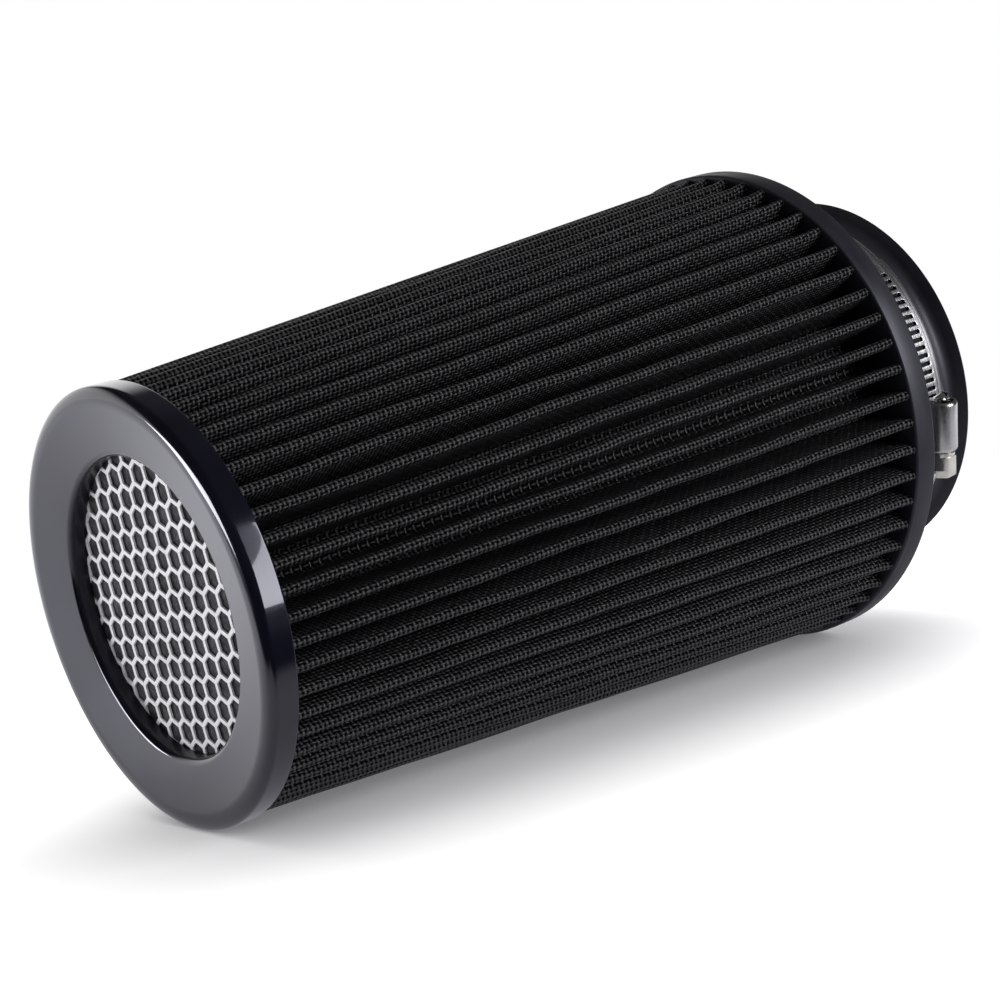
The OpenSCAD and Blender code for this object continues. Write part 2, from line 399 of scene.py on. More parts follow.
@dataclass(frozen=True)
class SatinRubber(Finish):
    """Satin black rubber: a blue tint, dusty clouds and fine mould marks."""

    dark: Colour = (0.004, 0.0045, 0.008)
    pale: Colour = (0.012, 0.0125, 0.018)

    def surface(self, shading: Shading) -> bpy.types.NodeSocket:
        """Builds the finish's nodes and returns the surface."""
        where = shading.place()
        cloud = shading.noise(where, 22.0, 4.0, 0.6)
        grain = shading.noise(where, 1500.0, 2.0)
        smear = shading.noise(shading.place((1, 1, 6)), 40.0, 3.0)
        height = grain * 0.2 + smear * 0.8
        return shading.principled(
            Base_Color=shading.mix(cloud.ramp(0.32, 0.72), self.dark, self.pale),
            Roughness=0.36 + 0.16 * smear.ramp(0.3, 0.7),
            IOR=1.5,
            Specular_Tint=(0.9, 0.9, 1.0),
            Normal=shading.bump(height, 0.00008, 0.7),
        )


@dataclass(frozen=True)
class BrushedSteel(Finish):
    """Steel with fine streaks, along an axis of the piece or along its own map.

    With a map, the strip is painted near black up to a given point along it:
    painted shade on the band's start, where its own tail lies on it.
    """

    pale: Colour = (0.70, 0.70, 0.72)
    dark: Colour = (0.52, 0.52, 0.54)
    streaks: tuple[float, float, float] = (1.0, 1.0, 1.0)
    rough_low: float = 0.22
    rough_high: float = 0.34
    coordinates: str = ""
    relief: float = 0.00001
    # Painted shade: how far along the strip it is painted near black, and that colour.
    painted_shade_to: float = -1.0
    painted_shade_colour: Colour = (0.03, 0.028, 0.026)

    def surface(self, shading: Shading) -> bpy.types.NodeSocket:
        """Builds the finish's nodes and returns the surface."""
        cloud = shading.noise(shading.place(), 140.0, 3.0)
        if self.coordinates:
            along, across = shading.uv(self.coordinates)
            where = shading.vector(along * self.streaks[0], across * self.streaks[1])
        else:
            where = shading.place(self.streaks)
        streak = shading.noise(where, 60.0, 4.0, 0.65)
        spread = self.rough_high - self.rough_low
        metal = shading.mix((cloud * 0.5 + streak * 0.5).ramp(0.3, 0.65), self.dark, self.pale)
        # Painted shade: the band's start, under its tail, is painted near black.
        if self.coordinates:
            outside_painted_shade = along.ramp(self.painted_shade_to, self.painted_shade_to + 0.5 * MM)
            metal = shading.mix(outside_painted_shade, self.painted_shade_colour, metal)
        return shading.principled(
            Base_Color=metal,
            Metallic=1.0,
            Roughness=self.rough_low + spread * streak.ramp(0.3, 0.7),
            Normal=shading.bump(streak, self.relief, 0.6),
        )


@dataclass(frozen=True)
class SilverPaint(Finish):
    """Silver-white paint on the punched mesh, a little duller in random patches."""

    pale: Colour = (0.90, 0.90, 0.92)
    dark: Colour = (0.66, 0.66, 0.68)

    def surface(self, shading: Shading) -> bpy.types.NodeSocket:
        """Builds the finish's nodes and returns the surface."""
        where = shading.place()
        cloud = shading.noise(where, 90.0, 3.0)
        grain = shading.noise(where, 2600.0, 2.0)
        return shading.principled(
            Base_Color=shading.mix((cloud * 0.7 + grain * 0.3).ramp(0.28, 0.5), self.dark, self.pale),
            Metallic=0.0,
            Roughness=0.34 + 0.16 * grain,
            Normal=shading.bump(grain, 0.00002, 0.5),
        )


@dataclass(frozen=True)
class GauzeCloth(Finish):
    """Fine gauze: a close weave with tufts and darker blotches."""

    dark: Colour = (0.008, 0.008, 0.010)
    pale: Colour = (0.085, 0.085, 0.095)
    threads: float = 900.0

    def surface(self, shading: Shading) -> bpy.types.NodeSocket:
        """Builds the finish's nodes and returns the surface."""
        where = shading.place()
        blotch = shading.noise(where, 150.0, 4.0, 0.62)
        tuft = shading.noise(where, 700.0, 3.0, 0.6)
        split = shading.node("ShaderNodeSeparateXYZ", None, {"Vector": shading.place((1, 1, 1), (0, 0, 0.6))})
        x = Value(shading, split.outputs["X"]) * self.threads
        y = Value(shading, split.outputs["Y"]) * self.threads
        weave = abs(x.fract() - 0.5) + abs(y.fract() - 0.5)
        tone = blotch * 0.45 + tuft * 0.55
        return shading.principled(
            Base_Color=shading.mix(tone.ramp(0.38, 0.64) * (0.55 + 0.45 * weave), self.dark, self.pale),
            Roughness=0.75 + 0.2 * tuft,
            Sheen_Weight=0.15,
            Sheen_Roughness=0.5,
            Normal=shading.bump(tuft * 0.7 + weave * 0.3, 0.0004, 0.9),
        )


@dataclass(frozen=True)
class WovenScreen(Finish):
    """Black plain-woven wire, drawn over the sheet's own map.

    One step of the map along the pleat is a wire that runs across the fold, and
    one step across it is a wire that runs along the fold. Between the wires the
    sheet is a near-black surface for the opening that it stands for: partly the
    dark sheets seen through it, partly painted shade. Each wire is painted darker
    down its sides and where it dips under a crossing wire: painted shade.
    """

    wire: Colour = (0.050, 0.050, 0.052)
    # Painted shade: the colour of the wires' low parts, and the near-black colour of the gaps.
    low: Colour = (0.0025, 0.0025, 0.003)
    gap: Colour = (0.0006, 0.0006, 0.0007)
    across_width: float = 0.70
    along_width: float = 0.62
    depth: float = 0.00045
    gloss: float = 0.30

    def surface(self, shading: Shading) -> bpy.types.NodeSocket:
        """Builds the finish's nodes and returns the surface."""
        where = shading.place()
        along, across = shading.uv("weave")
        along = along + (shading.noise(where, 45.0, 2.0) - 0.5) * 1.2
        across = across + (shading.noise(where, 60.0, 2.0) - 0.5) * 0.7
        off_along = abs(along.fract() - 0.5) * 2.0 / self.across_width
        off_across = abs(across.fract() - 0.5) * 2.0 / self.along_width
        rise = (math.pi * (across - 0.5 + along.floor())).cos() * 0.4 + 0.6
        fall = 0.6 - (math.pi * (along - 0.5 + across.floor())).cos() * 0.4
        first = (1.0 - off_along ** 2.0).root() * rise
        second = (1.0 - off_across ** 2.0).root() * fall
        height = first.at_least(second)
        worn = shading.noise(where, 420.0, 2.0)
        # Painted shade: the wire darkens down its sides and where it dips under a crossing wire; the worn
        # noise varies it at random.
        tone = height.ramp(0.46, 1.0) * (0.45 + 0.9 * worn.ramp(0.3, 0.75))
        wires = shading.principled(
            Base_Color=shading.mix(tone.at_most(1.0), self.low, self.wire),
            Roughness=self.gloss + 0.25 * worn,
            IOR=1.5,
            Normal=shading.bump(height, self.depth),
        )
        # The gaps: partly the dark sheets seen through them, partly painted shade.
        gaps = shading.node("ShaderNodeBsdfDiffuse", None, {"Color": (*self.gap, 1.0)})
        cover = (1.0 - off_along).at_least(1.0 - off_across).ramp(0.0, 0.22)
        return shading.node("ShaderNodeMixShader", None, {0: cover, 1: gaps.outputs[0], 2: wires}).outputs[0]


@dataclass(frozen=True)
class PaleFloor(Finish):
    """White stage paper that is seen from its front only and keeps shadows.

    It lies near the filter only, and farther out it lets the white surroundings
    show through. Its shadows are partly real, in its diffuse part, and partly a
    painted contact shadow: its glow is darkened by ambient occlusion near the
    filter. To glossy rays it shows a painted reflection: darker and bluish,
    brighter farther out, and black beyond two lines on the camera's side.
    """

    paper: Colour = (0.80, 0.80, 0.80)
    glow: float = 0.44
    fade: Span = (0.27, 0.46)
    middle: tuple[float, float, float] = (0.0, 0.0, 0.135)
    # Painted contact shadow: the reach of the ambient occlusion and the colour it darkens the glow to.
    painted_shadow_reach: float = 0.07
    painted_shadow_colour: Colour = (0.30, 0.30, 0.31)
    # Painted reflection: the floor's glow, darkness and blue tint as glossy rays see it, and two lines beyond
    # which it is black to them.
    mirrored_glow: float = 0.32
    mirrored_rise: float = 0.3
    rise: Span = (0.2, 0.45)
    mirrored_tint: Colour = (0.90, 0.90, 1.0)
    mirrored_open: float = 0.75
    mirrored_dark: float = 0.65
    ahead: tuple[float, float, float] = (0.295, -1.093, 0.144)
    ahead_end: Span = (0.125, 0.185)
    aside: tuple[float, float, float] = (0.367, -0.486, 0.897)
    aside_end: Span = (0.311, 0.371)

    def surface(self, shading: Shading) -> bpy.types.NodeSocket:
        """Builds the finish's nodes and returns the surface."""
        seen, mirror = shading.seen_directly(), shading.mirrored()
        where = shading.place()
        ahead = shading.measure("DOT_PRODUCT", where, self.ahead)
        aside = shading.measure("DOT_PRODUCT", where, self.aside)
        away = shading.measure("DISTANCE", where, self.middle)
        # Painted reflection: to glossy rays the floor is black beyond two lines on the camera's side.
        painted_dark_in_reflections = mirror * ahead.ramp(*self.ahead_end).at_least(aside.ramp(*self.aside_end))
        mottle = shading.noise(where, 3.0, 2.0)
        paper_tint = shading.mix(mottle, self.paper, tuple(c * 1.01 for c in self.paper))
        # Painted reflection: to glossy rays the paper is darker.
        darkened = (mirror * self.mirrored_dark).at_least(painted_dark_in_reflections)
        colour = shading.mix(darkened, paper_tint, (0.0, 0.0, 0.0))
        paper = shading.node("ShaderNodeBsdfDiffuse", None, {"Color": colour})
        # Painted contact shadow: ambient occlusion darkens the glow near the filter, less so to glossy rays,
        # which also see the glow bluish.
        closed = shading.node(
            "ShaderNodeAmbientOcclusion", {"samples": 8}, {"Distance": self.painted_shadow_reach}
        ).outputs["AO"]
        tint = shading.mix(
            Value(shading, closed).at_least(mirror * self.mirrored_open),
            self.painted_shadow_colour,
            shading.mix(mirror, (1.0, 1.0, 1.0), self.mirrored_tint),
        )
        # Painted reflection: to glossy rays the floor glows, more so farther out.
        mirrored_glow = self.mirrored_glow + self.mirrored_rise * away.ramp(*self.rise)
        shine = seen * self.glow + (mirror - painted_dark_in_reflections) * mirrored_glow
        glow = shading.node("ShaderNodeEmission", None, {"Color": tint, "Strength": shine})
        front = shading.node("ShaderNodeAddShader", None, {0: paper.outputs[0], 1: glow.outputs[0]})
        clear = shading.node("ShaderNodeBsdfTransparent")
        behind = Value(shading, shading.node("ShaderNodeNewGeometry").outputs["Backfacing"])
        unseen = behind.at_least((1.0 - mirror) * away.ramp(*self.fade))
        return shading.node(
            "ShaderNodeMixShader", None, {0: unseen, 1: front.outputs[0], 2: clear.outputs[0]}
        ).outputs[0]


# --------------------------------------------------------------- mesh building


def arc(centre: Point, radius: float, start: float, end: float, steps: int) -> list[Point]:
    """Points on an arc.

    Args:
        centre: The arc's centre.
        radius: Its radius.
        start: The first point's angle, in degrees.
        end: The last point's angle, in degrees.
        steps: How many steps lie between them.

    Returns:
        The points, both ends included.
    """
    turns = [math.radians(start + (end - start) * i / steps) for i in range(steps + 1)]
    return [(centre[0] + radius * math.cos(a), centre[1] + radius * math.sin(a)) for a in turns]


def rounded(corners: Sequence[tuple[float, float, float]], steps: int = 5) -> list[Point]:
    """Rounds the corners of a closed outline.

    Args:
        corners: Each corner's two coordinates and its radius; 0 keeps it sharp.
        steps: How many steps a rounded corner has.

    Returns:
        The outline's points.
    """
    made: list[Point] = []
    for i, (x, y, radius) in enumerate(corners):
        here = Vector((x, y))
        before = (Vector(corners[i - 1][:2]) - here).normalized()
        after = (Vector(corners[(i + 1) % len(corners)][:2]) - here).normalized()
        if radius <= 0:
            made.append((x, y))
            continue
        half = before.angle(after) / 2
        centre = here + (before + after).normalized() * (radius / math.sin(half))
        reach = radius / math.tan(half)
        first, last = here + before * reach - centre, here + after * reach - centre
        sweep = first.angle_signed(last)
        for k in range(steps + 1):
            turned = first.copy()
            turned.rotate(Matrix.Rotation(-sweep * k / steps, 2))
            made.append(tuple(centre + turned))
    return made


def rounded_corner(at: Point, radius: float, back: Point, ahead: Point) -> list[Point]:
    """A square corner of an outline, rounded.

    Args:
        at: The corner.
        radius: Its radius.
        back: Unit direction towards the outline's point before it.
        ahead: Unit direction towards the outline's point after it.

    Returns:
        The rounded corner's points.
    """
    start = Vector(at) + Vector(back) * radius
    end = Vector(at) + Vector(ahead) * radius
    centre = start + Vector(ahead) * radius
    made = []
    for k in range(4):
        a = math.pi / 2 * k / 3
        made.append(tuple(centre + (start - centre) * math.cos(a) + (end - centre) * math.sin(a)))
    return made


def revolve(outline: Sequence[Point], steps: int) -> bmesh.types.BMesh:
    """Turns a closed outline once round the filter's axis.

    Args:
        outline: Radius and height of each point, in metres.
        steps: How many steps the turn has.

    Returns:
        A closed mesh whose faces point outwards.
    """
    mesh = bmesh.new()
    ring = [mesh.verts.new((r, 0, z)) for r, z in outline]
    edges = [mesh.edges.new(pair) for pair in zip(ring, ring[1:] + ring[:1])]
    bmesh.ops.spin(
        mesh, geom=ring + edges, cent=(0, 0, 0), axis=(0, 0, 1), angle=TAU, steps=steps, use_merge=True
    )
    bmesh.ops.remove_doubles(mesh, verts=mesh.verts[:], dist=1e-7)
    bmesh.ops.recalc_face_normals(mesh, faces=mesh.faces[:])
    return mesh


def turn_up(mesh: bmesh.types.BMesh) -> None:
    """Turns a flat mesh over where its faces point down."""
    if sum(face.normal.z for face in mesh.faces) < 0:
        bmesh.ops.reverse_faces(mesh, faces=mesh.faces[:])


def pull_out(
    mesh: bmesh.types.BMesh, faces: Sequence[bmesh.types.BMFace], way: Sequence[float]
) -> list[bmesh.types.BMVert | bmesh.types.BMEdge | bmesh.types.BMFace]:
    """Pulls faces out of a mesh and keeps the ones that they start from.

    Args:
        mesh: The mesh that they are in.
        faces: The faces.
        way: How far, as a vector in metres.

    Returns:
        What was pulled out: its vertices, edges and faces.
    """
    made = bmesh.ops.extrude_face_region(mesh, geom=faces)["geom"]
    moved = [item for item in made if isinstance(item, bmesh.types.BMVert)]
    bmesh.ops.translate(mesh, verts=moved, vec=way)
    return made


def slice_through(
    mesh: bmesh.types.BMesh, point: Sequence[float], normal: Sequence[float], trim: bool = False
) -> None:
    """Cuts a whole mesh along a plane.

    Args:
        mesh: The mesh.
        point: A point of the plane.
        normal: The way that the plane faces.
        trim: Whether what lies in front of the plane goes.
    """
    bmesh.ops.bisect_plane(
        mesh,
        geom=mesh.verts[:] + mesh.edges[:] + mesh.faces[:],
        dist=1e-7,
        plane_co=point,
        plane_no=normal,
        clear_outer=trim,
    )


def round_corners(
    mesh: bmesh.types.BMesh, corners: Sequence[bmesh.types.BMVert], width: float, segments: int
) -> None:
    """Rounds the corners of a flat sheet.

    Args:
        mesh: The sheet.
        corners: The corners.
        width: The rounding's width, in metres.
        segments: How many edges it has.
    """
    bmesh.ops.bevel(
        mesh,
        geom=corners,
        offset=width,
        offset_type="OFFSET",
        segments=segments,
        profile=0.5,
        affect="VERTICES",
        clamp_overlap=True,
        material=-1,
    )


def mapped_grid(
    name: str, columns: int, rows: int
) -> tuple[bmesh.types.BMesh, bmesh.types.BMLayerItem, dict[bmesh.types.BMVert, tuple[int, int]]]:
    """A grid whose vertices know their places in it.

    Args:
        name: The name of its map.
        columns: How many faces it has one way.
        rows: How many it has the other way.

    Returns:
        The mesh, its map, and each vertex's column and row.
    """
    mesh = bmesh.new()
    layer = mesh.loops.layers.uv.new(name)
    bmesh.ops.create_grid(mesh, x_segments=columns, y_segments=rows, size=0.5)
    places = {v: (round((v.co.x + 0.5) * columns), round((v.co.y + 0.5) * rows)) for v in mesh.verts}
    return mesh, layer, places


def soften(
    mesh: bmesh.types.BMesh, edges: Iterable[bmesh.types.BMEdge], width: float, segments: int = 2
) -> None:
    """Rounds some edges.

    Args:
        mesh: The mesh that they are in.
        edges: The edges.
        width: The rounding's width, in metres.
        segments: How many faces it has across.
    """
    bmesh.ops.bevel(
        mesh,
        geom=list(edges),
        offset=width,
        offset_type="OFFSET",
        segments=segments,
        profile=0.5,
        affect="EDGES",
        clamp_overlap=True,
        material=-1,
    )


@dataclass
class Assembly:
    """What every sub-assembly can do: make finished pieces."""

    def add(
        self,
        name: str,
        mesh: bmesh.types.BMesh,
        finish: Finish,
        slot: str,
        nodes: Sequence[str] = (),
        body: Body = Body.FILTER,
        crease: float = 35.0,
    ) -> None:
        """Makes a finished piece out of a mesh.

        Args:
            name: The piece's name.
            mesh: Its mesh, which is freed.
            finish: What it is dressed with.
            slot: The record's material slot that the piece's finish goes with; not used.
            nodes: The part's nodes that it stands for.
            body: The body that it moves with.
            crease: Edges that turn by more degrees than this stay sharp.
        """
        data = bpy.data.meshes.new(name)
        mesh.to_mesh(data)
        mesh.free()
        data.shade_smooth()
        data.set_sharp_from_angle(angle=math.radians(crease))
        piece = bpy.data.objects.new(name, data)
        bpy.context.scene.collection.objects.link(piece)
        finish.dress(piece)
        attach(piece, body.value)
        if nodes:
            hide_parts(*nodes)
        LOG.info("%s: %d faces", name, len(data.polygons))


# --------------------------------------------------------------- end cap, boot


@dataclass
class EndCap(Assembly):
    """The moulded end cap: rounded rim, dished face, window and disc socket."""

    low_z: float = 258.0 * MM
    top_z: float = 266.5 * MM
    rim_r: float = 62.4 * MM
    rim_round: float = 1.8 * MM
    crown_round: float = 3.6 * MM
    crown_angle: float = 50.0
    brow_round: float = 8.0 * MM
    brow_angle: float = 78.0
    dish: float = 11.8
    window_r: float = 42.5 * MM
    window_round: float = 1.8 * MM
    mesh_top: float = 258.5 * MM
    socket_low: float = 255.4 * MM
    ledge_low: float = 252.6 * MM
    disc_r: float = 43.9 * MM
    ledge_r: float = 41.1 * MM
    socket_r: float = 45.0 * MM
    edge: float = 0.4 * MM
    hold: float = 0.4 * MM
    steps: int = 192

    def outline(self) -> list[Point]:
        """The cap's section as radius and height, anticlockwise from its socket."""
        slope, low_turn = math.radians(self.dish), math.radians(self.crown_angle)
        high_turn = math.radians(self.brow_angle)
        brow_z = self.top_z - self.brow_round
        crown_z = brow_z + (self.brow_round - self.crown_round) * math.sin(high_turn)
        round_z = crown_z + (self.crown_round - self.rim_round) * math.sin(low_turn)
        round_r = self.rim_r - self.rim_round
        crown_r = round_r - (self.crown_round - self.rim_round) * math.cos(low_turn)
        brow_r = crown_r - (self.brow_round - self.crown_round) * math.cos(high_turn)
        fold_r = brow_r - self.brow_round * math.sin(slope)
        fold_z = brow_z + self.brow_round * math.cos(slope)
        inner_r = self.window_r + self.window_round * (1 - math.sin(slope))
        steep = 90 + self.dish

        def face_z(radius: float) -> float:
            """Height of the dished face."""
            return fold_z - (fold_r - radius) * math.tan(slope)

        inner_z = face_z(inner_r) - self.window_round * math.cos(slope)
        low = rounded(
            [
                (self.window_r, self.mesh_top, 0),
                (self.disc_r, self.mesh_top, 0),
                (self.disc_r, self.socket_low, 0),
                (self.ledge_r, self.socket_low, 0),
                (self.ledge_r, self.ledge_low, self.edge),
                (self.socket_r, self.ledge_low, self.edge),
                (self.socket_r, self.low_z, 0),
            ],
            5,
        )
        return [
            (self.rim_r - 0.35 * MM, self.low_z),
            (self.rim_r - 0.1 * MM, self.low_z + 0.1 * MM),
            (self.rim_r, self.low_z + 0.35 * MM),
            (self.rim_r, self.low_z + 0.55 * MM),
            (self.rim_r, round_z - 0.25 * MM),
            *arc((round_r, round_z), self.rim_round, 0, self.crown_angle, 6),
            *arc((crown_r, crown_z), self.crown_round, self.crown_angle, self.brow_angle, 6)[1:],
            *arc((brow_r, brow_z), self.brow_round, self.brow_angle, steep, 10)[1:],
            (fold_r - self.hold, face_z(fold_r - self.hold)),
            (inner_r + self.hold, face_z(inner_r + self.hold)),
            *arc((self.window_r + self.window_round, inner_z), self.window_round, steep, 180, 7),
            *low,
        ]

    def build(self, finish: Finish) -> None:
        """Makes the cap."""
        mesh = revolve(self.outline(), self.steps)
        self.add("end_cap_moulding", mesh, finish, "gloss_moulding", ["end_cap"], crease=50)


@dataclass
class BaseBoot(Assembly):
    """Base ring, neck and lip, moulded in one piece of rubber."""

    bore_r: float = 51.0 * MM
    neck_r: float = 54.9 * MM
    lip_r: float = 58.8 * MM
    lip_edge: float = 1.8 * MM
    mouth_edge: float = 0.6 * MM
    lip_fillet: float = 4.4 * MM
    shoulder: float = 10.0 * MM
    ring_low: float = 35.0 * MM
    ring_top: float = 43.0 * MM
    ring_r: float = 76.0 * MM
    ring_edge: float = 0.8 * MM
    bell_r: float = 6.5 * MM
    steps: int = 192

    def outline(self) -> list[Point]:
        """The boot's section as radius and height, from the bore outwards."""
        lip_centre = (self.neck_r + self.lip_fillet, self.lip_edge + self.lip_fillet)
        neck_centre = (self.neck_r + self.shoulder, self.ring_low - self.shoulder)
        bell_centre = (self.bore_r + self.bell_r, self.ring_top - self.bell_r)
        low = rounded(
            [
                (self.bore_r, 0, self.mouth_edge),
                (self.lip_r, 0, self.mouth_edge),
                (self.lip_r, 10 * MM, 0),
                (self.bore_r, 10 * MM, 0),
            ],
            4,
        )
        mouth = [p for p in low if p[1] < 9 * MM]
        ring = rounded(
            [
                (self.ring_r - 10 * MM, self.ring_low, 0),
                (self.ring_r, self.ring_low, self.ring_edge),
                (self.ring_r, self.ring_top, self.ring_edge),
                (self.ring_r - 10 * MM, self.ring_top, 0),
            ],
            4,
        )
        return [
            *mouth,
            *arc(lip_centre, self.lip_fillet, 242, 180, 7),
            *arc(neck_centre, self.shoulder, 180, 90, 10),
            *ring[1:-1],
            *arc(bell_centre, self.bell_r, 90, 180, 8),
        ]

    def build(self, finish: Finish) -> None:
        """Makes the boot."""
        mesh = revolve(self.outline(), self.steps)
        self.add("base_boot_moulding", mesh, finish, "black_rubber", ["base_boot"])


# ---------------------------------------------------------------------- window


@dataclass
class Window(Assembly):
    """The hexagon mesh in the cap's window and the gauze disc behind it."""

    disc_r: float = 43.9 * MM
    mesh_low: float = 257.9 * MM
    mesh_top: float = 258.5 * MM
    gauze_t: float = 2.1 * MM
    tuft: float = 0.35 * MM
    web_soft: float = 0.28 * MM
    pitch: float = 7.0 * MM
    web: float = 1.4 * MM
    turn: float = -12.3
    centre: tuple[float, float] = (-0.95 * MM, 2.15 * MM)
    edge: float = 0.9 * MM
    sides: int = 96

    def cells(self) -> list[Point]:
        """Centres of the hexagons that lie at least partly on the disc."""
        turn = Matrix.Rotation(math.radians(self.turn), 2)
        reach = math.ceil(self.disc_r / self.pitch) + 2
        found = []
        for i in range(-reach, reach + 1):
            for j in range(-reach, reach + 1):
                at = turn @ Vector((self.pitch * (i + j / 2), self.pitch * j * math.sqrt(3) / 2))
                at += Vector(self.centre)
                if at.length < self.disc_r + self.pitch * 0.62:
                    found.append(tuple(at))
        return found

    def lattice(self) -> bmesh.types.BMesh:
        """The mesh: a flat honeycomb of webs, cut round and given its thickness."""
        mesh = bmesh.new()
        spin = Matrix.Rotation(math.radians(self.turn), 4, "Z")
        for x, y in self.cells():
            bmesh.ops.create_circle(
                mesh,
                cap_ends=True,
                segments=6,
                radius=self.pitch / math.sqrt(3),
                matrix=Matrix.Translation((x, y, self.mesh_top)) @ spin,
            )
        bmesh.ops.remove_doubles(mesh, verts=mesh.verts[:], dist=0.02 * MM)
        cells = mesh.faces[:]
        bmesh.ops.inset_individual(mesh, faces=cells, thickness=self.web / 2, depth=0)
        bmesh.ops.delete(mesh, geom=cells, context="FACES")
        for k in range(self.sides):
            a = TAU * k / self.sides
            out = Vector((math.cos(a), math.sin(a), 0))
            slice_through(mesh, out * (self.disc_r - 0.02 * MM), out, trim=True)
        bmesh.ops.recalc_face_normals(mesh, faces=mesh.faces[:])
        turn_up(mesh)
        pull_out(mesh, mesh.faces[:], (0, 0, self.mesh_low - self.mesh_top))
        bmesh.ops.recalc_face_normals(mesh, faces=mesh.faces[:])
        rims = [e for e in mesh.edges if e.is_manifold and e.calc_face_angle() > 1.2 and self._level(e)]
        soften(mesh, rims, self.web_soft, 2)
        return mesh

    @staticmethod
    def _level(edge: bmesh.types.BMEdge) -> bool:
        """Whether an edge lies flat."""
        return abs(edge.verts[0].co.z - edge.verts[1].co.z) < 1e-7

    def gauze(self) -> bmesh.types.BMesh:
        """The gauze disc, with a front that is a little uneven."""
        mesh = bmesh.new()
        spokes, rings = 120, 22
        bmesh.ops.create_circle(
            mesh,
            cap_ends=True,
            cap_tris=True,
            segments=spokes,
            radius=self.disc_r - 0.05 * MM,
            matrix=Matrix.Translation((0, 0, self.mesh_low - 0.15 * MM)),
        )
        outward = [e for e in mesh.edges if not e.is_boundary]
        bmesh.ops.subdivide_edges(mesh, edges=outward, cuts=rings, use_grid_fill=True)
        dice = random.Random(5)
        for vert in mesh.verts:
            if vert.co.xy.length < self.disc_r - 2 * MM:
                vert.co.z -= dice.uniform(0.0, self.tuft)
        bmesh.ops.recalc_face_normals(mesh, faces=mesh.faces[:])
        turn_up(mesh)
        bmesh.ops.solidify(mesh, geom=mesh.faces[:], thickness=self.gauze_t)
        return mesh

    def build(self, paint: Finish, cloth: Finish) -> None:
        """Makes the mesh and the gauze disc."""
        self.add("window_hexagon_mesh", self.lattice(), paint, "silver_mesh", ["window_mesh"], crease=40)
        self.add("window_gauze_disc", self.gauze(), cloth, "grey_gauze", ["window_gauze"], crease=60)


# ---------------------------------------------------------------------- pleats


